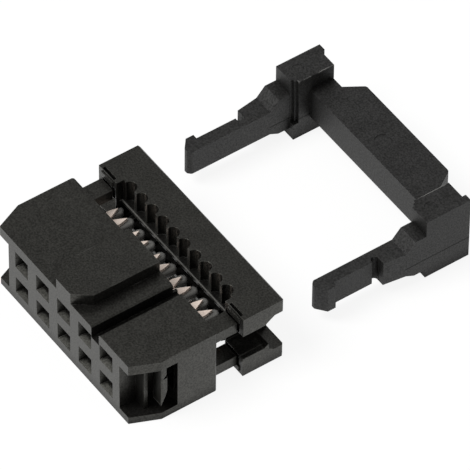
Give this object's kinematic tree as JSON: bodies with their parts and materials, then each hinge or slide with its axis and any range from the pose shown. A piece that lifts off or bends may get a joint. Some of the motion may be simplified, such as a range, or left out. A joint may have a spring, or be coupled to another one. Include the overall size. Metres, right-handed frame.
{
  "type": "idc socket connector",
  "caption": "Ribbon cable socket: black moulded body with a polarising key and fork contacts, a press-on cover, and a separate strain relief with latch arms.",
  "frame": {"origin": "centre of the mating face, midway between the two rows of pin cavities and on the middle column", "axes": "+X along the row, +Y from the mating face towards the cover, +Z towards the polarising key"},
  "size_m": [0.0181, 0.029, 0.0068],
  "materials": {
    "moulded_black": "fine satin mould texture",
    "contact_alloy": "bright stamped copper alloy"
  },
  "bodies": {
    "connector": {"socket_body": "moulded_black", "strain_relief": "moulded_black", "contact_top_1": "contact_alloy", "contact_top_2": "contact_alloy", "contact_top_3": "contact_alloy", "contact_top_4": "contact_alloy", "contact_top_5": "contact_alloy", "contact_bottom_1": "contact_alloy", "contact_bottom_2": "contact_alloy", "contact_bottom_3": "contact_alloy", "contact_bottom_4": "contact_alloy", "contact_bottom_5": "contact_alloy"},
    "press_cover": {"cover": "moulded_black"}
  },
  "joints": [
    {"name": "cover_press", "type": "slide", "parent": "connector", "child": "press_cover", "axis": [0, -1, 0], "range_m": [0, 0.0019]}
  ]
}
